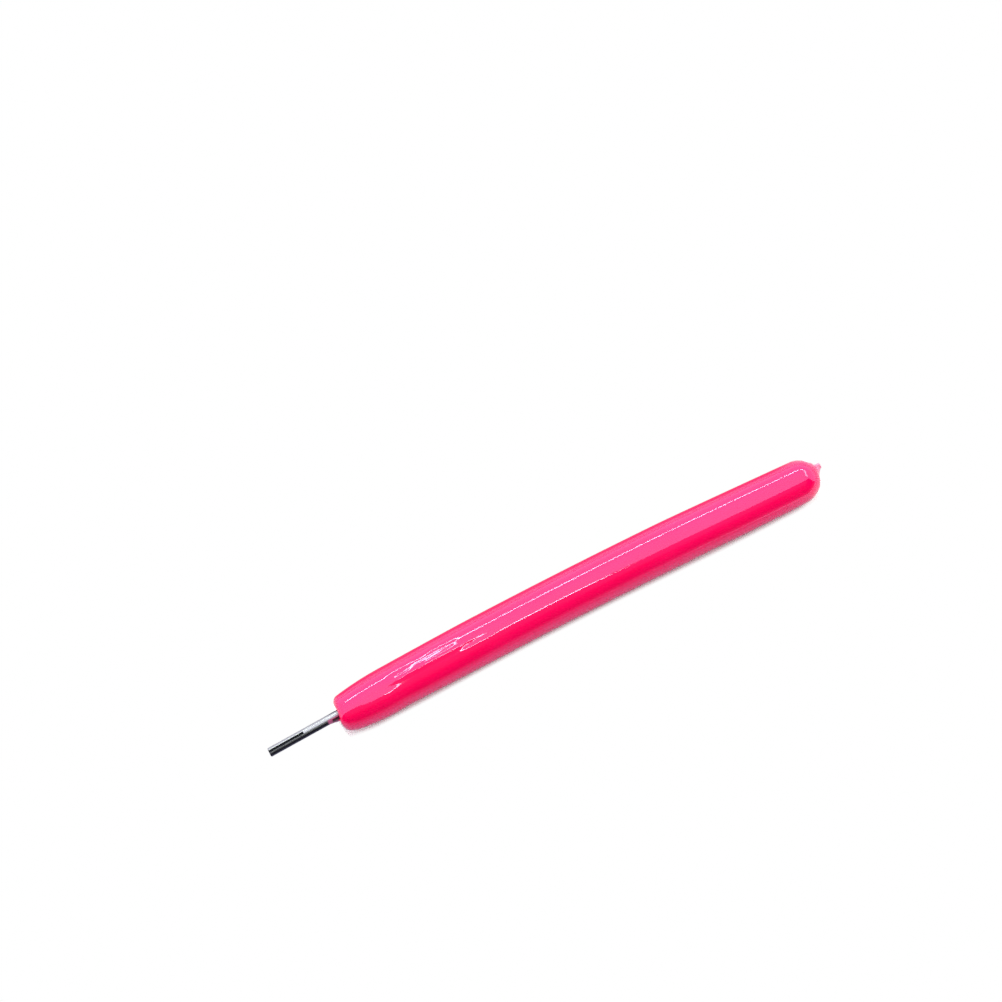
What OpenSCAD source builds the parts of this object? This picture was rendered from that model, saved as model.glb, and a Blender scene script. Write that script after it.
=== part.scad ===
// Slotted quilling tool: a steel needle with a slit tip, moulded into a one-piece plastic handle.
// It lies as on a table: X runs along the tool from the needle tip to the tail, Y across it and
// Z up, with the origin on the table under the middle of its length.

/* [Handle] */
// Length of the plastic handle, from the flat nose face to the end of the tail dome
handle_length = 91.1; // [75:0.1:130]
// Diameter of the straight barrel, the thickest part of the tool
barrel_diameter = 8.2; // [8:0.1:12]
// Length of the front part that swells from the nose face to the barrel
front_length = 26; // [16:0.5:32]
// Length of the rear part that narrows from the barrel to the tail, dome included
rear_length = 30; // [16:0.5:40]
// Radius that melts the front and rear tapers into the barrel
taper_blend_radius = 220; // [60:10:400]

/* [Nose] */
// Diameter where the long rounding of the nose runs out into the front taper
nose_diameter = 7.86; // [6:0.02:7.96]
// Distance of that place from the nose face
nose_length = 9; // [7:0.25:12]
// Radius of the long rounding of the nose
nose_round_radius = 55; // [45:1:90]
// Radius of the edge around the flat nose face
nose_edge_radius = 1.2; // [0.3:0.1:1.5]

/* [Tail] */
// Radius of the domed tail
tail_dome_radius = 3.72; // [2.8:0.02:3.9]

/* [Gate stub] */
// Diameter of the stub left where the moulding was broken off its runner
gate_diameter = 1.1; // [0.5:0.1:1.6]
// How far the stub stands out past the end of the dome
gate_height = 0.7; // [0.2:0.1:1.5]
// How far the stub sits to the side of the axis
gate_offset = 0.9; // [0:0.1:1]
// Radius of the flare where the stub grows out of the dome
gate_flare_radius = 0.3; // [0.1:0.05:0.4]

/* [Needle] */
// Diameter of the steel needle
needle_diameter = 1.6; // [1.3:0.05:2.4]
// Length of needle that stands out of the nose face
needle_reach = 13.2; // [9:0.1:25]
// Bevel that takes the burr off both ends of the needle
needle_bevel = 0.12; // [0.05:0.01:0.25]

/* [Slit] */
// Width of the slit that grips the paper strip
slit_width = 0.35; // [0.2:0.05:0.6]
// Length of the slit, from the needle tip
slit_length = 6.4; // [3:0.1:8.5]

/* [Shank in the handle] */
// Length of needle that is buried in the handle
shank_length = 24; // [20:0.5:40]
// Depth of the sealing groove that starts at the nose face
groove_depth = 0.25; // [0.2:0.01:0.3]
// Width of the sealing groove
groove_width = 0.8; // [0.7:0.05:1.5]
// Number of places where the shank is pinched flat, each a quarter turn from the last
pinch_count = 2; // [1:1:3]
// Width to which a pinch spreads the shank
pinch_width = 2; // [1.7:0.05:2.6]
// Thickness that a pinch leaves
pinch_thickness = 1.1; // [0.8:0.05:1.2]
// Length of the full depth of a pinch
pinch_length = 3; // [1.5:0.25:4]
// Length over which a pinch runs out at each end
pinch_ramp = 0.5; // [0.25:0.05:1]
// Distance from one pinch to the next, and from the last one to the end of the shank
pinch_pitch = 5.5; // [5:0.25:6]
// Gap between the steel and the plastic that shrank on it
shank_gap = 0.01; // [0.005:0.005:0.03]

/* [Hidden] */
$fn = 96;

barrel_r = barrel_diameter / 2;
nose_r = nose_diameter / 2;
needle_r = needle_diameter / 2;
needle_length = needle_reach + shank_length;
tool_length = needle_reach + handle_length + gate_height;

// Places on the handle's outline are written [radius, distance behind the nose face].
// Its straight parts end this far under the arcs that they run into, so that the two cross.
lap = 0.0005;
rear_start = handle_length - rear_length;

// Front taper: a straight line from the nose, tangent to the blend that ends at the barrel
nose_top = [nose_r, nose_length];
front_run = front_length - nose_length;
front_rise = barrel_r - nose_r;
front_blend_limit = 0.9 * (front_run * front_run + front_rise * front_rise) / (2 * front_rise);
front_blend_r = min(taper_blend_radius, front_blend_limit);
front_blend_centre = [barrel_r - front_blend_r, front_length];
front_reach = norm(front_blend_centre - nose_top);
front_tilt = asin(front_blend_r / front_reach) - atan2(nose_r - front_blend_centre.x, front_run);
front_normal = [cos(front_tilt), -sin(front_tilt)];

// Long rounding: an arc tangent to the front taper
round_centre = nose_top - nose_round_radius * front_normal;

// Edge rounding: an arc tangent to the nose face and to the long rounding
edge_reach = nose_round_radius - nose_edge_radius + lap;
edge_drop = nose_edge_radius - round_centre.y;
edge_centre = [round_centre.x + sqrt(edge_reach * edge_reach - edge_drop * edge_drop), nose_edge_radius];
edge_top = round_centre + (edge_centre - round_centre) * nose_round_radius / edge_reach;

// Rear taper: a straight line tangent to its blend at the barrel and to the dome
dome_centre = [0, handle_length - tail_dome_radius];
rear_run = dome_centre.y - rear_start;
rear_fall = barrel_r - tail_dome_radius;
rear_blend_limit = 0.9 * (rear_run * rear_run + rear_fall * rear_fall) / (2 * rear_fall);
rear_blend_r = min(taper_blend_radius, rear_blend_limit);
rear_blend_centre = [barrel_r - rear_blend_r, rear_start];
rear_span = dome_centre - rear_blend_centre;
rear_tilt = atan2(rear_span.y, rear_span.x) - acos((rear_blend_r - tail_dome_radius) / norm(rear_span));
rear_normal = [cos(rear_tilt), sin(rear_tilt)];

// The rim of the gate stub's flare is sunk in the dome all round
gate_r = gate_diameter / 2;
gate_foot_r = gate_r + gate_flare_radius;
gate_foot_far = gate_offset + gate_foot_r;
gate_sink = 0.05;
gate_foot = dome_centre.y + sqrt(pow(tail_dome_radius, 2) - pow(gate_foot_far, 2)) - gate_sink;
gate_root = 1;

// Place on an arc, a lap under it, in the direction of a unit vector
function under(centre, radius, normal) = centre + (radius - lap) * normal;

// Part of a circle that lies on the outline's side of the axis, between two distances
module arc_band(centre, radius, from, to) {
    intersection() {
        translate(centre) circle(radius);
        translate([0, from]) square([2 * barrel_r, to - from]);
    }
}

// Half of the handle's lengthwise section: its straight parts, and the arcs between them
module handle_outline() {
    polygon([
        [0, 0],
        [edge_centre.x, 0],
        edge_centre,
        under(round_centre, nose_round_radius, front_normal),
        under(front_blend_centre, front_blend_r, front_normal),
        [barrel_r, front_length],
        [barrel_r, rear_start],
        under(rear_blend_centre, rear_blend_r, rear_normal),
        under(dome_centre, tail_dome_radius, rear_normal),
        dome_centre,
    ]);
    translate(edge_centre) circle(nose_edge_radius);
    arc_band(round_centre, nose_round_radius, edge_top.y, front_length);
    arc_band(front_blend_centre, front_blend_r, nose_length, front_length);
    arc_band(rear_blend_centre, rear_blend_r, rear_start, dome_centre.y);
    arc_band(dome_centre, tail_dome_radius, rear_start, handle_length);
}

// Stub of the runner, with a hollow flare at its foot
module gate_stub() {
    rotate_extrude()
    difference() {
        polygon([
            [0, gate_foot - gate_root],
            [gate_foot_r, gate_foot - gate_root],
            [gate_foot_r, gate_foot + gate_flare_radius],
            [gate_r, gate_foot + gate_flare_radius],
            [gate_r, handle_length + gate_height],
            [0, handle_length + gate_height],
        ]);
        translate([gate_foot_r, gate_foot + gate_flare_radius]) circle(gate_flare_radius);
    }
}

// Round wire with both ends bevelled and the sealing groove, from the tip along Z.
// grow widens it all round, for the hollow in the handle.
module needle_wire(grow) {
    r = needle_r + grow;
    end = needle_length + grow;
    groove_end = needle_reach + groove_width;
    rotate_extrude()
    polygon([
        [0, 0],
        [r - needle_bevel, 0],
        [r, needle_bevel],
        [r, needle_reach],
        [r - groove_depth, needle_reach + groove_depth],
        [r - groove_depth, groove_end - groove_depth],
        [r, groove_end],
        [r, end - needle_bevel],
        [r - needle_bevel, end],
        [0, end],
    ]);
}

// Round swelling of the metal that a pinch pushes out, centred at the origin
module pinch_bulge(grow) {
    half = pinch_length / 2;
    rotate_extrude()
    polygon([
        [0, -half - pinch_ramp],
        [needle_r + grow, -half - pinch_ramp],
        [pinch_width / 2 + grow, -half],
        [pinch_width / 2 + grow, half],
        [needle_r + grow, half + pinch_ramp],
        [0, half + pinch_ramp],
    ]);
}

// Marks of the two dies that pinch the shank, one on each side
module pinch_marks(grow) {
    half = pinch_length / 2;
    floor_y = pinch_thickness / 2 + grow;
    clear_y = floor_y + pinch_width;
    for (side = [0, 180])
        rotate([0, 0, side])
        translate([-pinch_width, 0, 0])
        rotate([90, 0, 90])
        linear_extrude(2 * pinch_width)
        polygon([
            [floor_y, -half],
            [clear_y, -half - pinch_ramp * (clear_y - floor_y) / (needle_r - floor_y + grow)],
            [clear_y, half + pinch_ramp * (clear_y - floor_y) / (needle_r - floor_y + grow)],
            [floor_y, half],
        ]);
}

// Centre of a pinch, counted from the buried end
function pinch_place(i) = needle_length - (i + 1) * pinch_pitch;

// The whole needle before its slit is sawn
module needle_form(grow) {
    difference() {
        union() {
            needle_wire(grow);
            for (i = [0 : pinch_count - 1])
                translate([0, 0, pinch_place(i)]) pinch_bulge(grow);
        }
        for (i = [0 : pinch_count - 1])
            translate([0, 0, pinch_place(i)]) rotate([0, 0, 90 * i]) pinch_marks(grow);
    }
}

// Lays a piece made along Z, from the needle tip up, on the table, with its X side on top
module lay_down(behind_tip) {
    translate([behind_tip - tool_length / 2, 0, barrel_r]) rotate([180, -90, 0]) children();
}

module handle() {
    color("deeppink")
    difference() {
        lay_down(needle_reach) {
            rotate_extrude() handle_outline();
            translate([0, -gate_offset, 0]) gate_stub();
        }
        lay_down(0) needle_form(shank_gap);
    }
}

module slotted_needle() {
    color("silver")
    lay_down(0)
    difference() {
        needle_form(0);
        translate([-needle_diameter, -slit_width / 2, -1])
            cube([2 * needle_diameter, slit_width, slit_length + 1]);
    }
}

handle();
slotted_needle();
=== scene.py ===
"""A slotted quilling tool lying on a white table: its looks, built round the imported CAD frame.

The tool lies along X, with the needle's tip towards -X, and its barrel touches the table at
Z = 0. The scene is in metres. The handle and the needle have their sizes in millimetres, as a
maker gives them, and their places are turned into metres where a mesh is made.
"""

import math

import bpy
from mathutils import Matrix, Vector, noise


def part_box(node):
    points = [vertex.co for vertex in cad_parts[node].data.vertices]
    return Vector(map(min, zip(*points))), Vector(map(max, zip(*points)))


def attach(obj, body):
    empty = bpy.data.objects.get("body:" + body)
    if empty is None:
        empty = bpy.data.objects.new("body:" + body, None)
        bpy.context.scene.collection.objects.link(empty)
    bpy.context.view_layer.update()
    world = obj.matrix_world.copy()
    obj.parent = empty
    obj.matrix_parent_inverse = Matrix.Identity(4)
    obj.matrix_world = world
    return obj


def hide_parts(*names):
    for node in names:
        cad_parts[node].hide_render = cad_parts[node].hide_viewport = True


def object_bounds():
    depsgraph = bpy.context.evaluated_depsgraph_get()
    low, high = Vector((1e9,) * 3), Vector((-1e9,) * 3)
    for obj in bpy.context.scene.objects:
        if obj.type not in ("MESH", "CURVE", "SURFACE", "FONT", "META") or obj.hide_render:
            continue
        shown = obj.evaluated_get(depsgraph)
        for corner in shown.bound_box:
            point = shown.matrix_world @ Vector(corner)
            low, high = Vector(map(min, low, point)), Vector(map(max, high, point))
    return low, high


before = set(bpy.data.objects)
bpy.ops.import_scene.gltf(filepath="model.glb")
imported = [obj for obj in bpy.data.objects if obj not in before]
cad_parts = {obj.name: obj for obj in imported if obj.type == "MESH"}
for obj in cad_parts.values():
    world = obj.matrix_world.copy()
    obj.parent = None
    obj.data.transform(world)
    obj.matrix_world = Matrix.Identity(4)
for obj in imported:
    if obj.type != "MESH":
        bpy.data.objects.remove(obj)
cad_low, cad_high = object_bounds()
scene = bpy.context.scene
scene.view_settings.view_transform = "Standard"


# Camera
# The camera looks almost straight down through a long lens, with the tool running from the
# lower left to the upper right of the picture.
MM = 0.001
CAMERA_AIM = Vector((1.938, 20.591, 0.0)) * MM
CAMERA_DISTANCE = 477.04 * MM
CAMERA_LEAN = math.radians(12.0)
CAMERA_TURN = math.radians(-27.391)
CAMERA_LENS = 100.0
CAMERA_SENSOR = 36.0
CAMERA_NEAR = 0.01
CAMERA_FAR = 20.0

camera_data = bpy.data.cameras.new("camera")
camera_data.lens = CAMERA_LENS
camera_data.sensor_width = CAMERA_SENSOR
camera_data.clip_start = CAMERA_NEAR
camera_data.clip_end = CAMERA_FAR
camera = bpy.data.objects.new("camera", camera_data)
camera.rotation_euler = (CAMERA_LEAN, 0.0, CAMERA_TURN)
looking = camera.rotation_euler.to_matrix() @ Vector((0.0, 0.0, -1.0))
camera.location = CAMERA_AIM - CAMERA_DISTANCE * looking
scene.collection.objects.link(camera)
scene.camera = camera


# Light
# A white light tent closes in the tool on its upper left, from beside the lens down to the
# table, and the room on the lower right stays dim. The handle mirrors the tent as its broad
# bright side, and the tent's lit seams as fine bright lines.
PAPER_WHITE = (1.0, 1.0, 1.0, 1.0)

# The room gets lighter overhead and low down: these are heights on a sphere of radius 1
ROOM_HUE = (0.93, 0.95, 1.0, 1.0)
ROOM_DARK = 0.01
ROOM_HIGH = 0.28
ROOM_HIGH_FROM = (0.70, 0.97)
ROOM_LOW = 0.42
ROOM_LOW_FROM = (0.32, -0.05)

# The tent's edge lies this far past straight up, and the tent wraps round the tail end
TENT_EDGE = math.radians(7.7)
TENT_EDGE_SOFT = (-0.004, 0.012)
TENT_WRAP = 0.6
TENT_WRAP_FROM = (0.72, 0.95)
TENT_RADIANCE = 1.9


class Wire:
    """One output in a shader tree. Arithmetic on wires adds the nodes that work it out."""

    def __init__(self, tree, socket=None):
        self.tree = tree
        self.socket = socket

    def node(self, kind, settings=None, inputs=None, output=0):
        """Adds any node: its settings first, then wires or plain values on its inputs.

        Inputs and the output are called by name or by number. Hands back the wire from that
        output, or nothing where the node ends the tree.
        """
        made = self.tree.nodes.new(kind)
        for name, value in (settings or {}).items():
            setattr(made, name, value)
        for key, value in (inputs or {}).items():
            if isinstance(value, Wire):
                self.tree.links.new(value.socket, made.inputs[key])
            else:
                made.inputs[key].default_value = value
        return Wire(self.tree, made.outputs[output]) if made.outputs else None

    def math(self, operation, first, second=0.0):
        """One Math node, on wires or plain values."""
        return self.node("ShaderNodeMath", {"operation": operation}, {0: first, 1: second})

    def __add__(self, other):
        return self.math("ADD", self, other)

    def __radd__(self, other):
        return self.math("ADD", other, self)

    def __sub__(self, other):
        return self.math("SUBTRACT", self, other)

    def __rsub__(self, other):
        return self.math("SUBTRACT", other, self)

    def __mul__(self, other):
        return self.math("MULTIPLY", self, other)

    def __rmul__(self, other):
        return self.math("MULTIPLY", other, self)

    def __abs__(self):
        return self.math("ABSOLUTE", self)

    def ramp(self, span, low=0.0, high=1.0):
        """Goes smoothly from low to high as this wire goes from the first to the second of span."""
        inputs = {"Value": self, "From Min": span[0], "From Max": span[1], "To Min": low, "To Max": high}
        return self.node("ShaderNodeMapRange", {"interpolation_type": "SMOOTHSTEP"}, inputs)

    def mix(self, first, second):
        """A colour between two, as far along as this wire says.

        A Mix node has its colours on inputs 6 and 7, and the mixed colour on output 2.
        """
        inputs = {0: self, 6: first, 7: second}
        return self.node("ShaderNodeMix", {"data_type": "RGBA"}, inputs, output=2)

    def parts(self):
        """The three parts of this vector."""
        split = self.node("ShaderNodeSeparateXYZ", None, {0: self})
        return [Wire(self.tree, out) for out in split.socket.node.outputs]

    def noise(self, grains, detail):
        """Noise from 0 to 1 at this place, with so many grains to a metre along X, Y and Z."""
        scaled = self.node("ShaderNodeVectorMath", {"operation": "MULTIPLY"}, {0: self, 1: grains})
        inputs = {"Vector": scaled, "Scale": 1.0, "Detail": detail}
        return self.node("ShaderNodeTexNoise", None, inputs)


def blank(owner):
    """Empties the shader tree of a world or a material; its nodes are added from this wire."""
    owner.use_nodes = True
    owner.node_tree.nodes.clear()
    return Wire(owner.node_tree)


# The camera sees plain white behind the tool, and the tool sees the tent and the room
world = bpy.data.worlds.new("room")
scene.world = world
tree = blank(world)
seen = tree.node("ShaderNodeLightPath", output="Is Camera Ray")
x, y, z = tree.node("ShaderNodeTexCoord", output="Generated").parts()
over_edge = y * math.cos(TENT_EDGE) + z * math.sin(TENT_EDGE) + x.ramp(TENT_WRAP_FROM, 0.0, TENT_WRAP)
dim = z.ramp(ROOM_HIGH_FROM, ROOM_DARK, ROOM_HIGH) + z.ramp(ROOM_LOW_FROM, 0.0, ROOM_LOW)
level = dim + over_edge.ramp(TENT_EDGE_SOFT) * TENT_RADIANCE
room = tree.node("ShaderNodeBackground", None, {"Color": ROOM_HUE, "Strength": level})
paper = tree.node("ShaderNodeBackground", None, {"Color": PAPER_WHITE, "Strength": 1.0})
backdrop = tree.node("ShaderNodeMixShader", None, {0: seen, 1: room, 2: paper})
tree.node("ShaderNodeOutputWorld", None, {"Surface": backdrop})


def soft_light(name, centre_x, angle, distance, length, width, radiance, hue, mirrored=True):
    """A flat lamp square to the tool, at an angle from straight up towards +Y."""
    lamp = bpy.data.lights.new(name, "AREA")
    lamp.shape = "RECTANGLE"
    lamp.size = length
    lamp.size_y = width
    lamp.color = hue
    lamp.energy = radiance * math.pi * length * width
    holder = bpy.data.objects.new(name, lamp)
    holder.location = (centre_x, distance * math.sin(angle), distance * math.cos(angle))
    holder.rotation_euler = (-angle, 0.0, 0.0)
    holder.visible_camera = False
    holder.visible_glossy = mirrored
    scene.collection.objects.link(holder)


# Two long seams run along the tool, each at its angle from straight up towards +Y, and each
# from its start to its end along X
SEAM_HUE = (0.8, 1.0, 0.66)
SEAM_DISTANCE = 0.48
SEAM_WIDTH = 0.020
SEAM_RADIANCE = 25.0
LOW_SEAM_ANGLE = math.radians(-9.0)
LOW_SEAM_X = (-0.03, 0.07)
HIGH_SEAM_ANGLE = math.radians(50.0)
HIGH_SEAM_X = (-0.16, 0.44)
low_seam = ("low_seam", LOW_SEAM_ANGLE, LOW_SEAM_X)
high_seam = ("high_seam", HIGH_SEAM_ANGLE, HIGH_SEAM_X)
for seam_name, seam_angle, (seam_start, seam_end) in (low_seam, high_seam):
    soft_light(seam_name, (seam_start + seam_end) / 2, seam_angle, SEAM_DISTANCE,
               seam_end - seam_start, SEAM_WIDTH, SEAM_RADIANCE, SEAM_HUE)

# A weak lamp in the room keeps the lower right from going black; it is too soft to be mirrored
FILL_ANGLE = math.radians(-50.0)
FILL_DISTANCE = 0.9
FILL_SIZE = 0.9
FILL_RADIANCE = 1.15
soft_light("fill", 0.0, FILL_ANGLE, FILL_DISTANCE, FILL_SIZE, FILL_SIZE, FILL_RADIANCE,
           ROOM_HUE[:3], mirrored=False)

# A short seam crosses between the two long ones at the tail end; the dome bends it into an arc
TAIL_SEAM_WIDTH = 0.11
TAIL_SEAM_PART = 0.6
TAIL_SEAM_RADIANCE = 8.0
between_seams = (LOW_SEAM_ANGLE + HIGH_SEAM_ANGLE) / 2
half_between = (HIGH_SEAM_ANGLE - LOW_SEAM_ANGLE) / 2
tail_seam_length = TAIL_SEAM_PART * 2 * SEAM_DISTANCE * math.sin(half_between)
soft_light("tail_seam", HIGH_SEAM_X[1], between_seams, SEAM_DISTANCE * math.cos(half_between),
           TAIL_SEAM_WIDTH, tail_seam_length, TAIL_SEAM_RADIANCE, SEAM_HUE)


# Table
# A sheet of white paper. The camera burns it out to plain white, and only the thin shadow where
# the handle touches it stays. What the handle mirrors is the paper with painted shade on it: bright
# beyond the tool, darkened close behind it and towards the dim side of the room.
TABLE_SIZE = 4.0
# The paper's own white, then painted shade on it behind the tool, before it and far before it, then the
# white where its real shadow shows
TABLE_BRIGHT = (0.80, 0.78, 0.80, 1.0)
TABLE_SHADE_BEHIND = (0.16, 0.14, 0.17, 1.0)
TABLE_SHADE_BEFORE = (0.50, 0.50, 0.62, 1.0)
TABLE_SHADE_FAR = (0.36, 0.35, 0.40, 1.0)
TABLE_SHADED = (1.0, 0.97, 1.0, 1.0)


def mm(*values):
    """Millimetres, in metres."""
    return tuple(value * MM for value in values)


# Where one tone of painted shade on the paper goes over into the next: across the tool, then along it
UNDER_TOOL = mm(-1.0, 1.0)
BEFORE_FADES = mm(-14.0, -34.0)
BEHIND_FADES = mm(10.0, 26.0)
AHEAD_OF_NOSE = mm(-38.0, -44.0)
PAST_TAIL = mm(46.0, 54.0)

# The shadow fades out beside the barrel, narrows towards both ends of the handle and stops there
SHADOW_FADES = mm(3.45, 4.35)
NARROWS_FRONT = mm(-34.0, -41.0)
NARROWS_REAR = mm(46.0, 53.0)
NARROWS_BY = 0.7 * MM
STOPS_FRONT = mm(-39.2, -40.4)
STOPS_REAR = mm(51.8, 53.0)
STOPS_BY = 5.0 * MM

# It follows the handle's bow: how far towards -Y it lies at the nose and half-way, and what
# that gains up to the tail
FOLLOWS_FRONT = mm(-35.0, -5.0)
FOLLOWS_AT_NOSE = 0.3 * MM
FOLLOWS_AT_MIDDLE = -0.1 * MM
FOLLOWS_REAR = mm(5.0, 40.0)
FOLLOWS_TO_TAIL = 0.5 * MM

table_mesh = bpy.data.meshes.new("table")
half = TABLE_SIZE / 2
corners = [(-half, -half, 0.0), (half, -half, 0.0), (half, half, 0.0), (-half, half, 0.0)]
table_mesh.from_pydata(corners, [], [(0, 1, 2, 3)])
table = bpy.data.objects.new("table", table_mesh)
scene.collection.objects.link(table)

white_paper = bpy.data.materials.new("white_paper")
tree = blank(white_paper)
seen = tree.node("ShaderNodeLightPath", output="Is Camera Ray")
x, y = tree.node("ShaderNodeTexCoord", output="Object").parts()[:2]
aside = x.ramp(FOLLOWS_FRONT, FOLLOWS_AT_NOSE, FOLLOWS_AT_MIDDLE)
aside += x.ramp(FOLLOWS_REAR, 0.0, FOLLOWS_TO_TAIL)
beside = abs(y + aside)
beside += x.ramp(NARROWS_FRONT, 0.0, NARROWS_BY) + x.ramp(NARROWS_REAR, 0.0, NARROWS_BY)
beside += x.ramp(STOPS_FRONT, 0.0, STOPS_BY) + x.ramp(STOPS_REAR, 0.0, STOPS_BY)
plain = beside.ramp(SHADOW_FADES)

# The paper that the handle mirrors, darkened with painted shade behind and before the tool
before = y.ramp(BEFORE_FADES).mix(TABLE_SHADE_BEFORE, TABLE_SHADE_FAR)
behind = (y.ramp(BEHIND_FADES) + x.ramp(AHEAD_OF_NOSE)).mix(TABLE_SHADE_BEHIND, TABLE_BRIGHT)
sheet = x.ramp(PAST_TAIL).mix(y.ramp(UNDER_TOOL).mix(before, behind), TABLE_BRIGHT)
mirrored_paper = tree.node("ShaderNodeBsdfPrincipled", None, {
    "Base Color": sheet,
    "Specular IOR Level": 0.0,
})
shaded = tree.node("ShaderNodeBsdfPrincipled", None, {
    "Base Color": TABLE_SHADED,
    "Specular IOR Level": 0.0,
})
burnt = tree.node("ShaderNodeEmission", None, {"Color": PAPER_WHITE, "Strength": 1.0})
shown = tree.node("ShaderNodeMixShader", None, {0: plain, 1: shaded, 2: burnt})
paper = tree.node("ShaderNodeMixShader", None, {0: seen, 1: mirrored_paper, 2: shown})
tree.node("ShaderNodeOutputMaterial", None, {"Surface": paper})
table_mesh.materials.append(white_paper)


# Handle
# One solid stick of glossy hot-pink plastic, injection-moulded round the needle. It shrank as
# it cooled, so it is bowed a little, and sink marks ripple the skin behind the nose.
AXIS_HEIGHT = cad_high.z / 2
NOSE_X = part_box("handle")[0].x
HANDLE_LENGTH = 91.1
BARREL_R = 4.1
FRONT_LENGTH = 26.0
REAR_LENGTH = 30.0
BLEND_R = 220.0
NOSE_R = 3.93
NOSE_LENGTH = 9.0
ROUND_R = 55.0
EDGE_R = 1.2
DOME_R = 3.72

# The hole round the needle, with a softly rounded lip. Its section is in shares of the hole's
# depth and radius, and the lip's in shares of the lip's width.
BORE_R = 0.815
BORE_DEPTH = 1.6
BORE_LIP = 0.06
BORE_SECTION = [(1.0, 0.5), (1.0, 0.97), (0.97, 1.0), (0.5, 1.0)]
LIP_SECTION = [(1.2, 0.0), (0.5, 0.2), (0.1, 0.6), (0.0, 1.2), (0.0, 2.2)]

# How finely the skin is divided
AROUND = 240
EDGE_STEPS = 14
DOME_STEPS = 26
FACE_MARGIN = 0.05
FINE_STEP = 0.3
FINE_UNTIL = 32.0
COARSE_STEP = 1.0

# The bow towards +Y, as a polynomial of the share of the handle's length; it leaves the hole
# where it is and comes in over this width round it
BOW = (-0.40, 2.11, 0.383, -5.874, 3.133)
BOW_FADE = 1.6

# The flat of the nose swells a little to one side
NOSE_SWELL = 0.30
NOSE_SWELL_Y = -1.7
NOSE_SWELL_WIDTH = 1.0
NOSE_SWELL_DEPTH = 0.9

# Sink marks: millimetres behind the nose, degrees from the top towards +Y, half length,
# half width in degrees towards +Y and towards -Y, depth in millimetres. On the nose face they
# begin this far from the axis, and have their full depth this much further out.
SINKS = [
    (17.5, -8.0, 7.2, 11.5, 38.0, 0.18),
    (16.5, 5.0, 6.8, 8.0, 8.0, -0.10),
    (7.5, -3.0, 3.2, 12.0, 12.0, 0.12),
    (12.0, 17.0, 2.6, 9.0, 9.0, 0.08),
    (16.2, 18.0, 2.0, 9.0, 9.0, 0.03),
    (20.3, 19.0, 3.2, 9.0, 9.0, 0.09),
    (26.4, -1.5, 3.0, 5.0, 5.0, 0.08),
    (74.0, -3.0, 24.0, 12.0, 14.0, 0.09),
    (5.6, -85.0, 4.6, 45.0, 45.0, -0.15),
    (0.3, -80.0, 1.1, 45.0, 45.0, 0.14),
    (79.0, -92.0, 8.5, 55.0, 55.0, -0.12),
    (90.0, -85.0, 2.2, 55.0, 55.0, 0.20),
]
SINK_INNER_R = 1.9
SINK_FADE = 0.7

# Wrinkles behind the nose, coarse and fine: depth, length along, and width in degrees. They
# fill one patch of the skin.
WRINKLES = [(0.022, 2.8, 7.0), (0.009, 1.4, 3.6)]
WRINKLE_SEED = 5.0
PATCH_MIDDLE = 16.0
PATCH_HALF = 7.5
PATCH_DEGREES = 12.0
PATCH_HALF_DEGREES = 11.0


def arc_height(centre, arc_r, back):
    """How far from the axis an arc runs, at a distance behind the nose."""
    return centre[1] + math.sqrt(arc_r ** 2 - (back - centre[0]) ** 2)


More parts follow.
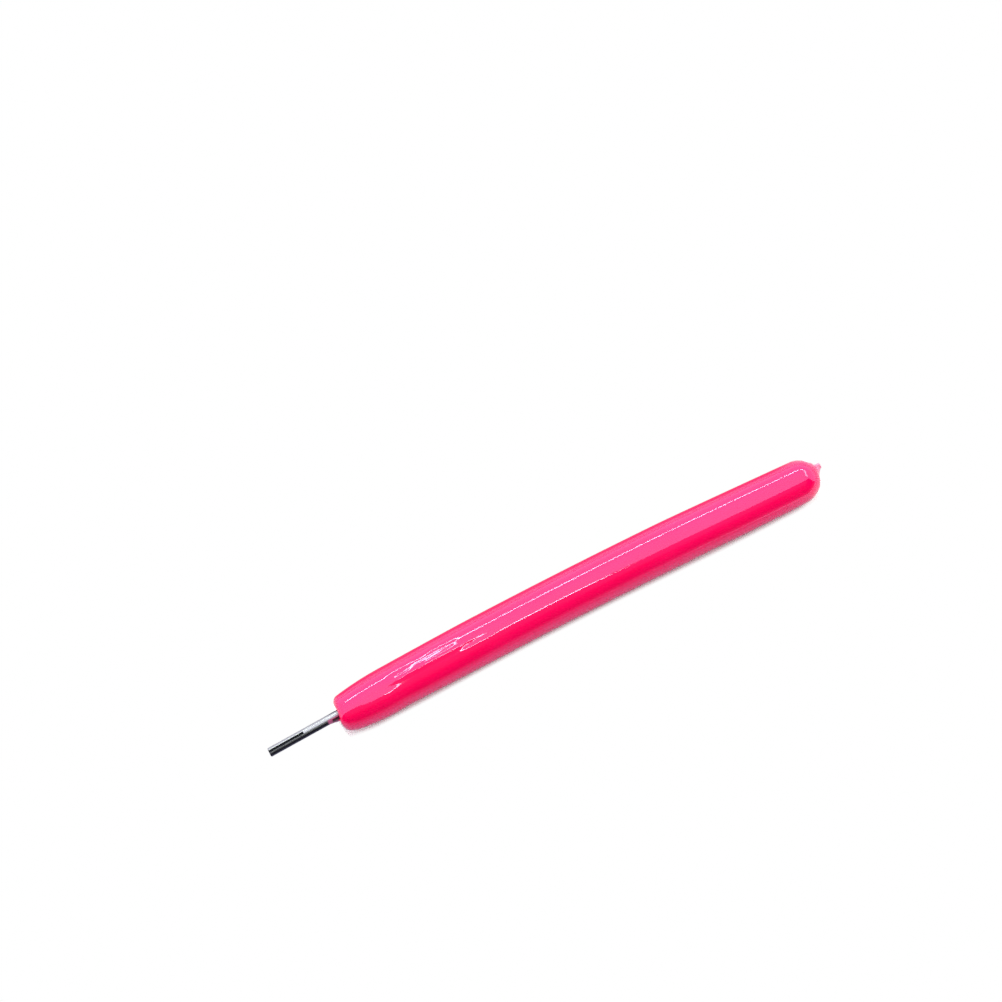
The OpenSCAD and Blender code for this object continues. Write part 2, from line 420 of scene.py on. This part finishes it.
def handle_outline():
    """The handle's half section from hole to tail: places (behind the nose, from the axis)."""
    front_centre = (FRONT_LENGTH, BARREL_R - BLEND_R)
    reach = math.hypot(FRONT_LENGTH - NOSE_LENGTH, front_centre[1] - NOSE_R)
    front_tilt = math.asin(BLEND_R / reach)
    front_tilt -= math.atan2(NOSE_R - front_centre[1], FRONT_LENGTH - NOSE_LENGTH)
    front_end = FRONT_LENGTH - BLEND_R * math.sin(front_tilt)
    round_centre = (NOSE_LENGTH + ROUND_R * math.sin(front_tilt), NOSE_R - ROUND_R * math.cos(front_tilt))
    edge_centre = (EDGE_R, arc_height(round_centre, ROUND_R - EDGE_R, EDGE_R))

    rear_centre = (HANDLE_LENGTH - REAR_LENGTH, BARREL_R - BLEND_R)
    dome_centre = HANDLE_LENGTH - DOME_R
    run = dome_centre - rear_centre[0]
    rear_tilt = math.atan2(run, -rear_centre[1])
    rear_tilt -= math.acos((BLEND_R - DOME_R) / math.hypot(run, rear_centre[1]))
    rear_start = rear_centre[0] + BLEND_R * math.sin(rear_tilt)
    rear_start_r = rear_centre[1] + BLEND_R * math.cos(rear_tilt)
    dome_start = dome_centre + DOME_R * math.sin(rear_tilt)

    def outer_r(back):
        """Outer radius between the edge rounding and the dome."""
        if back < NOSE_LENGTH:
            return arc_height(round_centre, ROUND_R, back)
        if back < front_end:
            return NOSE_R + (back - NOSE_LENGTH) * math.tan(front_tilt)
        if back < FRONT_LENGTH:
            return arc_height(front_centre, BLEND_R, back)
        if back < rear_centre[0]:
            return BARREL_R
        if back < rear_start:
            return arc_height(rear_centre, BLEND_R, back)
        return rear_start_r - (back - rear_start) * math.tan(rear_tilt)

    places = [(BORE_DEPTH * deep, BORE_R * wide) for deep, wide in BORE_SECTION]
    places += [(BORE_LIP * back, BORE_R + BORE_LIP * wide) for back, wide in LIP_SECTION]
    places += [(0.0, (BORE_R + edge_centre[1]) / 2), (0.0, edge_centre[1] - FACE_MARGIN)]
    edge_lean = math.atan2(edge_centre[0] - round_centre[0], edge_centre[1] - round_centre[1])
    for i in range(EDGE_STEPS + 1):
        lean = -math.pi / 2 + (math.pi / 2 + edge_lean) * i / EDGE_STEPS
        edge_back = edge_centre[0] + EDGE_R * math.sin(lean)
        places.append((edge_back, edge_centre[1] + EDGE_R * math.cos(lean)))
    back = places[-1][0] + FINE_STEP
    while back <= dome_start - FINE_STEP:
        places.append((back, outer_r(back)))
        back += FINE_STEP if back < FINE_UNTIL else COARSE_STEP
    for i in range(DOME_STEPS):
        lean = rear_tilt + (math.pi / 2 - rear_tilt) * i / DOME_STEPS
        places.append((dome_centre + DOME_R * math.sin(lean), DOME_R * math.cos(lean)))
    return places


def degrees_from(middle, degrees):
    """How far one direction round the axis lies from another, from -180 to 180 degrees."""
    return (degrees - middle + 180.0) % 360.0 - 180.0


def sink(back, degrees):
    """How far the skin has sunk, at a distance behind the nose and an angle from the top."""
    deep = 0.0
    for middle, middle_degrees, half_long, half_up, half_down, depth in SINKS:
        across = degrees_from(middle_degrees, degrees)
        half_wide = half_up if across > 0.0 else half_down
        deep += depth * math.exp(-((back - middle) / half_long) ** 4 - (across / half_wide) ** 2)
    around = degrees_from(0.0, degrees)
    long_part = ((back - PATCH_MIDDLE) / PATCH_HALF) ** 4
    wide_part = ((around - PATCH_DEGREES) / PATCH_HALF_DEGREES) ** 4
    for depth, long, wide in WRINKLES:
        wave = noise.noise(Vector((back / long, around / wide, WRINKLE_SEED)))
        deep += math.exp(-long_part - wide_part) * depth * wave
    return deep


def clamp(value):
    """The value, kept from 0 to 1."""
    return min(1.0, max(0.0, value))


def handle_ring(back, plain_r):
    """One ring of places round the axis, in metres, sunk and bowed as the moulding is."""
    share = clamp(back / HANDLE_LENGTH)
    bow = sum(part * share ** power for power, part in enumerate(BOW))
    bow *= clamp((plain_r - BORE_R - BORE_LIP) / BOW_FADE)
    on_lip = plain_r < BORE_R + 2 * BORE_LIP
    nose_swell = 0.0 if on_lip else NOSE_SWELL * math.exp(-(back / NOSE_SWELL_DEPTH) ** 2)
    places = []
    for i in range(AROUND):
        angle = 2 * math.pi * i / AROUND
        deep = sink(back, math.degrees(angle)) * clamp((plain_r - SINK_INNER_R) / SINK_FADE)
        y = (plain_r - deep) * math.sin(angle) + bow
        z = (plain_r - deep) * math.cos(angle)
        swell = nose_swell * math.exp(-((y - NOSE_SWELL_Y) / NOSE_SWELL_WIDTH) ** 2)
        places.append((NOSE_X + (back - swell) * MM, y * MM, AXIS_HEIGHT + z * MM))
    return places


def skin(rings, start, end):
    """Places and faces of a skin over rings, closed at both ends with a fan to one place."""
    count = len(rings[0])
    places = [place for ring in rings for place in ring] + [start, end]
    start_number = len(places) - 2
    end_number = len(places) - 1
    last_ring = (len(rings) - 1) * count
    faces = []
    for i in range(count):
        after = (i + 1) % count
        faces.append((start_number, after, i))
        for ring_start in range(0, last_ring, count):
            next_ring = ring_start + count
            faces.append((ring_start + i, ring_start + after, next_ring + after, next_ring + i))
        faces.append((end_number, last_ring + i, last_ring + after))
    return places, faces


bore_end = (NOSE_X + BORE_DEPTH * MM, 0.0, AXIS_HEIGHT)
tail_end = (NOSE_X + HANDLE_LENGTH * MM, sum(BOW) * MM, AXIS_HEIGHT)
stick = skin([handle_ring(back, plain_r) for back, plain_r in handle_outline()], bore_end, tail_end)

# Stub of the runner on the dome, with a flare at its foot, and a web on its lower side that
# slants down to the end of the dome
STUB_Y = 0.38
STUB_R = 0.48
STUB_TAPER = 0.12
STUB_ROOT_X = 51.2
STUB_TIP_X = 52.62
STUB_AROUND = 40
STUB_STEPS = 14
WEB_REACH = 2.0
WEB_SLANT = 1.5
WEB_NARROW = 4
FLARE_REACH = 0.28
FLARE_FALL = 5.0

# Towards its torn end it is uneven: how much, and how fine round it and along it
TORN_SIDE = 0.07
TORN_SIDE_GRAIN = 1.7
TORN_SIDE_LONG = 3.0
TORN_RIM = 0.16
TORN_RIM_GRAIN = 2.3
TORN_RIM_SEED = 7.0

# The torn end is closed by rings at shares of its rim's width, each so far back, and uneven too
TORN_END_RINGS = ((0.72, 0.05), (0.4, 0.12))
TORN_END = 0.1
TORN_END_GRAIN = 2500.0
TORN_END_SEED = 3.0


def stub_ring(along):
    """One ring of the stub, from its root at 0 to its torn end at 1."""
    places = []
    for i in range(STUB_AROUND):
        angle = 2 * math.pi * i / STUB_AROUND
        web = max(0.0, -math.sin(angle)) ** WEB_NARROW * WEB_REACH * (1.0 - along) ** WEB_SLANT
        flare = FLARE_REACH * math.exp(-along * FLARE_FALL)
        round_x = math.cos(angle)
        round_y = math.sin(angle)
        grain = TORN_SIDE_GRAIN
        side = noise.noise(Vector((round_x * grain, round_y * grain, along * TORN_SIDE_LONG)))
        stub_r = STUB_R * (1.0 - STUB_TAPER * along) + web + flare + TORN_SIDE * side * along
        grain = TORN_RIM_GRAIN
        rim = noise.noise(Vector((round_x * grain, round_y * grain, TORN_RIM_SEED)))
        x = STUB_ROOT_X + (STUB_TIP_X - STUB_ROOT_X) * along + TORN_RIM * along * rim
        y = STUB_Y + stub_r * math.sin(angle)
        places.append((x * MM, y * MM, AXIS_HEIGHT + stub_r * math.cos(angle) * MM))
    return places


def torn_end_ring(rim, share, back):
    """One ring of the torn end, inside its rim."""
    places = []
    for x, y, z in rim:
        y_in = STUB_Y * MM + (y - STUB_Y * MM) * share
        z_in = AXIS_HEIGHT + (z - AXIS_HEIGHT) * share
        uneven = noise.noise(Vector((y_in * TORN_END_GRAIN, z_in * TORN_END_GRAIN, TORN_END_SEED)))
        places.append((x - back * MM + TORN_END * uneven * MM, y_in, z_in))
    return places


stub_rings = [stub_ring(i / STUB_STEPS) for i in range(STUB_STEPS + 1)]
stub_rings += [torn_end_ring(stub_rings[-1], share, back) for share, back in TORN_END_RINGS]
stub_start = (STUB_ROOT_X * MM, STUB_Y * MM, AXIS_HEIGHT)
stub_end = ((STUB_TIP_X - TORN_END) * MM, STUB_Y * MM, AXIS_HEIGHT)
stub = skin(stub_rings, stub_start, stub_end)

# The needle sits a little askew: it leans towards -Y from this far inside the nose
NEEDLE_SKEW = 0.034
SKEW_FROM = 1.5

# Flash, a thin lip of plastic that was pressed out along the needle's lower side. It starts
# inside the nose. Half its thickness is given at its tip, then what that gains up to the nose,
# and what its foot gains once more.
FLASH_REACH = 2.3
FLASH_INSIDE = 0.25
FLASH_END = 0.05
FLASH_AROUND = 24
FLASH_STEPS = 12
FLASH_TIP = 0.07
FLASH_GAIN = 0.30
FLASH_GAIN_POWER = 0.6
FLASH_FOOT = 0.35
FLASH_FOOT_FROM = 0.75
FLASH_TALL = 1.2
FLASH_SIDE = 0.62
FLASH_SIDE_GAIN = 0.12
FLASH_LOW = 0.25
FLASH_UNEVEN = 0.22
FLASH_GRAIN = (1.5, 4.0)
FLASH_SEED = 11.0


def flash_ring(along):
    """One ring of the lip, from its tip at 0 to its foot inside the nose at 1."""
    out = FLASH_REACH * (1.0 - along) - FLASH_INSIDE
    middle_y = -NEEDLE_SKEW * (out + SKEW_FROM) - FLASH_SIDE - FLASH_SIDE_GAIN * along
    half = FLASH_TIP + FLASH_GAIN * along ** FLASH_GAIN_POWER
    half += FLASH_FOOT * max(0.0, along - FLASH_FOOT_FROM)
    places = []
    for i in range(FLASH_AROUND):
        angle = 2 * math.pi * i / FLASH_AROUND
        spot = Vector((math.cos(angle) * FLASH_GRAIN[0], along * FLASH_GRAIN[1], FLASH_SEED))
        uneven = half * (1.0 + FLASH_UNEVEN * noise.noise(spot))
        y = middle_y + uneven * math.sin(angle)
        z = uneven * FLASH_TALL * math.cos(angle) - FLASH_LOW
        places.append((NOSE_X - out * MM, y * MM, AXIS_HEIGHT + z * MM))
    return places


flash_rings = [flash_ring(i / FLASH_STEPS) for i in range(FLASH_STEPS + 1)]
top = 0
side = FLASH_AROUND // 4
tip_x = NOSE_X - (FLASH_REACH - FLASH_INSIDE + FLASH_END) * MM
foot_x = NOSE_X + (FLASH_INSIDE + FLASH_END) * MM
flash_tip = (tip_x, flash_rings[0][top][1], flash_rings[0][side][2])
flash_foot = (foot_x, flash_rings[-1][top][1], flash_rings[-1][side][2])
flash = skin(flash_rings, flash_tip, flash_foot)

# Stick, stub and flash are one moulding, and one mesh
moulding_places = []
moulding_faces = []
for places, faces in (stick, stub, flash):
    shift = len(moulding_places)
    moulding_places += places
    moulding_faces += [tuple(number + shift for number in face) for face in faces]
handle_mesh = bpy.data.meshes.new("handle_body")
handle_mesh.from_pydata(moulding_places, [], moulding_faces)
handle_mesh.shade_smooth()
handle = bpy.data.objects.new("handle_body", handle_mesh)
scene.collection.objects.link(handle)

# The plastic: its colour drifts with the flow into the mould, and it is paler where the stub
# was torn off and greyer in the flash
PLASTIC = (0.96, 0.0015, 0.092, 1.0)
PLASTIC_DEEP = (0.94, 0.001, 0.080, 1.0)
PLASTIC_TORN = (0.72, 0.20, 0.31, 1.0)
PLASTIC_FLASH = (0.30, 0.09, 0.17, 1.0)
TORN_FROM = mm(51.5, 52.0)
FLASH_FROM = mm(0.36, 0.55)
FLOW_GRAINS = (60.0, 400.0, 400.0)
FLOW_DETAIL = 3.0
FLOW_SPAN = (0.3, 0.7)

# Its gloss has fine smears from handling, and the skin a very faint orange peel. Its mirror
# image of the tent is weakest in green, which keeps the bright side pink.
SMEAR_GRAINS = (150.0, 500.0, 500.0)
SMEAR_DETAIL = 4.0
SMEAR_SPAN = (0.45, 0.75)
ROUGH_CLEAN = 0.06
ROUGH_SMEARED = 0.11
ROUGH_TORN = 0.3
PEEL_GRAINS = (900.0, 900.0, 900.0)
PEEL_DETAIL = 2.0
PEEL_STRENGTH = 0.06
PEEL_HEIGHT = 0.000012
PLASTIC_IOR = 1.5
PLASTIC_SHINE = 1.0
PLASTIC_TINT = (1.0, 0.5, 1.0, 1.0)

plastic = bpy.data.materials.new("handle_plastic")
tree = blank(plastic)
place = tree.node("ShaderNodeTexCoord", output="Object")
x = place.parts()[0]
torn = x.ramp(TORN_FROM)
flow = place.noise(FLOW_GRAINS, FLOW_DETAIL).ramp(FLOW_SPAN)
colour = torn.mix(flow.mix(PLASTIC, PLASTIC_DEEP), PLASTIC_TORN)
colour = (NOSE_X - x).ramp(FLASH_FROM).mix(colour, PLASTIC_FLASH)
smears = place.noise(SMEAR_GRAINS, SMEAR_DETAIL).ramp(SMEAR_SPAN, ROUGH_CLEAN, ROUGH_SMEARED)
peel = place.noise(PEEL_GRAINS, PEEL_DETAIL)
bump = tree.node("ShaderNodeBump", None, {
    "Height": peel,
    "Strength": PEEL_STRENGTH,
    "Distance": PEEL_HEIGHT,
})
body = tree.node("ShaderNodeBsdfPrincipled", None, {
    "Base Color": colour,
    "Roughness": smears + torn * ROUGH_TORN,
    "Normal": bump,
    "IOR": PLASTIC_IOR,
    "Specular IOR Level": PLASTIC_SHINE,
    "Specular Tint": PLASTIC_TINT,
})
tree.node("ShaderNodeOutputMaterial", None, {"Surface": body})
handle_mesh.materials.append(plastic)
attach(handle, "root")
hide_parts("handle")


# Needle
# One piece of drawn steel wire, its tip bevelled and sawn with a slit that grips the paper.
# Its grooved and pinched shank is held by the plastic that shrank on it.
TIP_X = cad_low.x
NEEDLE_R = 0.8
NEEDLE_REACH = 13.2
SHANK = 24.0
NEEDLE_LENGTH = NEEDLE_REACH + SHANK

# The wire's skin is divided this often round it and at this step along it. Behind the groove
# the steps start anew, at this distance from the tip.
NEEDLE_AROUND = 72
WIRE_STEP = 0.5
SHANK_STEPS_FROM = 15.0

# The tip's bevel is filed a little round: places (behind the tip, in from the wire's skin)
BEVEL = 0.12
BEVEL_SECTION = [(0.0, 0.14), (0.015, BEVEL), (0.06, 0.0504), (BEVEL, 0.008), (0.15, 0.0)]

# The sealing groove starts at the nose face; the shank is pinched twice, a quarter turn apart
GROOVE = 0.25
GROOVE_WIDTH = 0.8
PINCH_PITCH = 5.5
PINCH_WIDTH = 2.0
PINCH_THICKNESS = 1.1
PINCH_HALF = 1.5
PINCH_RAMP = 0.5

# Each pinch: where its middle is, how wide it leaves the wire, and how tall
PINCHES = (
    (NEEDLE_LENGTH - PINCH_PITCH, PINCH_THICKNESS, PINCH_WIDTH),
    (NEEDLE_LENGTH - 2 * PINCH_PITCH, PINCH_WIDTH, PINCH_THICKNESS),
)

stations = [(at, NEEDLE_R - inward) for at, inward in BEVEL_SECTION]
reach_steps = int((NEEDLE_REACH - WIRE_STEP) / WIRE_STEP)
stations += [(WIRE_STEP + WIRE_STEP * i, NEEDLE_R) for i in range(reach_steps)]
stations += [
    (NEEDLE_REACH, NEEDLE_R),
    (NEEDLE_REACH + GROOVE, NEEDLE_R - GROOVE),
    (NEEDLE_REACH + GROOVE_WIDTH - GROOVE, NEEDLE_R - GROOVE),
    (NEEDLE_REACH + GROOVE_WIDTH, NEEDLE_R),
]
shank_steps = int((NEEDLE_LENGTH - SHANK_STEPS_FROM) / WIRE_STEP)
stations += [(SHANK_STEPS_FROM + WIRE_STEP * i, NEEDLE_R) for i in range(shank_steps)]
stations += [(NEEDLE_LENGTH - BEVEL, NEEDLE_R), (NEEDLE_LENGTH, NEEDLE_R - BEVEL)]

needle_rings = []
for at, wire_r in stations:
    wide = wire_r
    tall = wire_r
    for middle, pinch_wide, pinch_tall in PINCHES:
        part = clamp((PINCH_HALF + PINCH_RAMP - abs(at - middle)) / PINCH_RAMP)
        wide += part * (pinch_wide / 2 - NEEDLE_R)
        tall += part * (pinch_tall / 2 - NEEDLE_R)
    places = []
    for i in range(NEEDLE_AROUND):
        angle = 2 * math.pi * i / NEEDLE_AROUND
        places.append((at * MM, wide * math.sin(angle) * MM, tall * math.cos(angle) * MM))
    needle_rings.append(places)
places, faces = skin(needle_rings, (0.0, 0.0, 0.0), (NEEDLE_LENGTH * MM, 0.0, 0.0))
wire_mesh = bpy.data.meshes.new("slotted_wire")
wire_mesh.from_pydata(places, [], faces)
needle = bpy.data.objects.new("slotted_wire", wire_mesh)
scene.collection.objects.link(needle)

# The saw is a thin disc fed in from the tip, so the slit's floor is dished
SLIT_WIDTH = 0.35
SLIT_LENGTH = 6.4
SAW_LEAD = 1.0
SAW_HALF = 2.0
FLOOR_STEPS = 8
FLOOR_HALF = 0.9
FLOOR_DISH = 0.12
saw_line = [(-SAW_LEAD, -SAW_HALF), (SLIT_LENGTH, -SAW_HALF)]
for i in range(FLOOR_STEPS + 1):
    z = -FLOOR_HALF + 2 * FLOOR_HALF * i / FLOOR_STEPS
    saw_line.append((SLIT_LENGTH - FLOOR_DISH * (1 - (z / FLOOR_HALF) ** 2) + FLOOR_DISH / 2, z))
saw_line += [(SLIT_LENGTH, SAW_HALF), (-SAW_LEAD, SAW_HALF)]
saw_places = []
for side in (-SLIT_WIDTH / 2, SLIT_WIDTH / 2):
    saw_places += [(at * MM, side * MM, z * MM) for at, z in saw_line]
count = len(saw_line)
saw_faces = [tuple(range(count)), tuple(range(2 * count - 1, count - 1, -1))]
for i in range(count):
    after = (i + 1) % count
    saw_faces.append((after, i, count + i, count + after))
saw_mesh = bpy.data.meshes.new("saw")
saw_mesh.from_pydata(saw_places, [], saw_faces)
saw = bpy.data.objects.new("saw", saw_mesh)
scene.collection.objects.link(saw)

# The slit is sawn, and its edges are broken with a stone
BROKEN_EDGE = 0.03 * MM
BROKEN_FROM = math.radians(32.0)
SHARP_FROM = math.radians(40.0)
cut = needle.modifiers.new("slit", "BOOLEAN")
cut.object = saw
cut.solver = "EXACT"
stone = needle.modifiers.new("edges", "BEVEL")
stone.limit_method = "ANGLE"
stone.angle_limit = BROKEN_FROM
stone.width = BROKEN_EDGE
stone.segments = 2
bpy.context.view_layer.update()
sawn = bpy.data.meshes.new_from_object(needle.evaluated_get(bpy.context.evaluated_depsgraph_get()))
needle.modifiers.clear()
needle.data = sawn
bpy.data.objects.remove(saw)
bpy.data.meshes.remove(saw_mesh)
bpy.data.meshes.remove(wire_mesh)
sawn.name = "slotted_wire"
sawn.shade_smooth()
sawn.set_sharp_from_angle(angle=SHARP_FROM)

# The tool came to rest with the slit leaning a little, and the wire sits askew in the nose
NEEDLE_ROLL = math.radians(-6.0)
for vert in sawn.vertices:
    at, y, z = vert.co
    y_rolled = y * math.cos(NEEDLE_ROLL) - z * math.sin(NEEDLE_ROLL)
    z_rolled = y * math.sin(NEEDLE_ROLL) + z * math.cos(NEEDLE_ROLL)
    askew = -NEEDLE_SKEW * max(0.0, (NEEDLE_REACH + SKEW_FROM) * MM - at)
    vert.co = (TIP_X + at, y_rolled + askew, AXIS_HEIGHT + z_rolled)

# The steel: blotched with handling. Painted shade makes it black in the slit and dark down its
# lower side and next to the nose, and a painted reflection of the pink nose lies before the nose.
STEEL = (0.35, 0.34, 0.38, 1.0)
STEEL_DULL = (0.30, 0.29, 0.33, 1.0)
STEEL_DIE_LINE_AND_SLIT_SHADE = (0.010, 0.010, 0.014, 1.0)
STEEL_PAINTED_SHADE = (0.040, 0.036, 0.055, 1.0)
BLOTCH_GRAINS = (250.0, 2500.0, 2500.0)
BLOTCH_DETAIL = 3.0
BLOTCH_SPAN = (0.35, 0.75)

# Drawing the wire left fine lines along it, which are its grain
DRAWN_GRAINS = (120.0, 6000.0, 6000.0)
DRAWN_DETAIL = 3.0
DRAWN_SPAN = (0.3, 0.7)
DRAWN_STRENGTH = 0.04
DRAWN_HEIGHT = 0.000006
ROUGH_LEAST = 0.34
ROUGH_MOST = 0.40
ROUGH_SAWN = 0.3

# Where the slit is, which painted shade makes black: how far across from its middle, and
# where along X its floor lies
SLIT_WALL = mm(0.235, 0.205)
SLIT_FLOOR = mm(-45.9, -46.0)

# Angles round the wire, in radians from the top towards +Y
SHADE_UPPER = (-0.52, -0.68)
SHADE_LOWER = (-1.55, -1.25)
DIE_LINE_AT = -0.17
DIE_LINE_SPAN = (0.13, 0.03)
DIE_LINE_DEPTH = 0.5

# Next to the nose painted shade darkens the wire's upper side too: round it, and out from the nose
TOP_SHADE = (0.70, 1.0)
TOP_SHADE_REACH = mm(2.6, 0.5)

# A painted reflection of the pink nose lies along the wire's lower side before the nose, with a
# painted reflection of shade in it
PINK_REFLECTION = (0.42, 0.085, 0.20, 1.0)
SHADE_REFLECTION = (0.035, 0.004, 0.010, 1.0)
PINK_REFLECTION_AT = -1.0
PINK_REFLECTION_WIDE = (0.95, 0.65)
PINK_REFLECTION_REACH = mm(2.35, 2.05)
SHADE_REFLECTION_AT = -0.9
SHADE_REFLECTION_WIDE = (0.55, 0.35)
SHADE_REFLECTION_REACH = mm(1.55, 1.30)

steel = bpy.data.materials.new("needle_steel")
tree = blank(steel)
place = tree.node("ShaderNodeTexCoord", output="Object")
x, y, z = place.parts()
drawn = place.noise(DRAWN_GRAINS, DRAWN_DETAIL)
blotch = place.noise(BLOTCH_GRAINS, BLOTCH_DETAIL)
out_of_nose = NOSE_X - x
wire_y = y + NEEDLE_SKEW * (NOSE_X + SKEW_FROM * MM - x)
wire_z = z - AXIS_HEIGHT
angle = tree.math("ARCTAN2", wire_y, wire_z)

slit_y = wire_y * math.cos(NEEDLE_ROLL) + wire_z * math.sin(NEEDLE_ROLL)
# Painted shade makes the slit black
in_slit = abs(slit_y).ramp(SLIT_WALL) * x.ramp(SLIT_FLOOR)
# Painted shade darkens the wire's lower side between these angles
shaded_side = angle.ramp(SHADE_UPPER) * angle.ramp(SHADE_LOWER)
die_line = abs(angle - DIE_LINE_AT).ramp(DIE_LINE_SPAN) * DIE_LINE_DEPTH
# Painted reflection of the pink nose, with a painted reflection of shade in it
reflects_pink = abs(angle - PINK_REFLECTION_AT).ramp(PINK_REFLECTION_WIDE) * out_of_nose.ramp(PINK_REFLECTION_REACH)
reflects_shade = abs(angle - SHADE_REFLECTION_AT).ramp(SHADE_REFLECTION_WIDE) * out_of_nose.ramp(SHADE_REFLECTION_REACH)
# Painted shade on the wire's upper side next to the nose
shaded_top = angle.ramp(TOP_SHADE) * out_of_nose.ramp(TOP_SHADE_REACH)

colour = blotch.ramp(BLOTCH_SPAN).mix(STEEL, STEEL_DULL)
colour = shaded_side.mix(die_line.mix(colour, STEEL_DIE_LINE_AND_SLIT_SHADE), STEEL_PAINTED_SHADE)
colour = reflects_pink.mix(colour, reflects_shade.mix(PINK_REFLECTION, SHADE_REFLECTION))
colour = shaded_top.mix(colour, STEEL_PAINTED_SHADE)
colour = in_slit.mix(colour, STEEL_DIE_LINE_AND_SLIT_SHADE)
bump = tree.node("ShaderNodeBump", None, {
    "Height": drawn,
    "Strength": DRAWN_STRENGTH,
    "Distance": DRAWN_HEIGHT,
})
body = tree.node("ShaderNodeBsdfPrincipled", None, {
    "Base Color": colour,
    "Metallic": 1.0 - reflects_pink,
    "Roughness": drawn.ramp(DRAWN_SPAN, ROUGH_LEAST, ROUGH_MOST) + in_slit * ROUGH_SAWN,
    "Normal": bump,
})
tree.node("ShaderNodeOutputMaterial", None, {"Surface": body})
sawn.materials.append(steel)
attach(needle, "root")
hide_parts("slotted_needle")
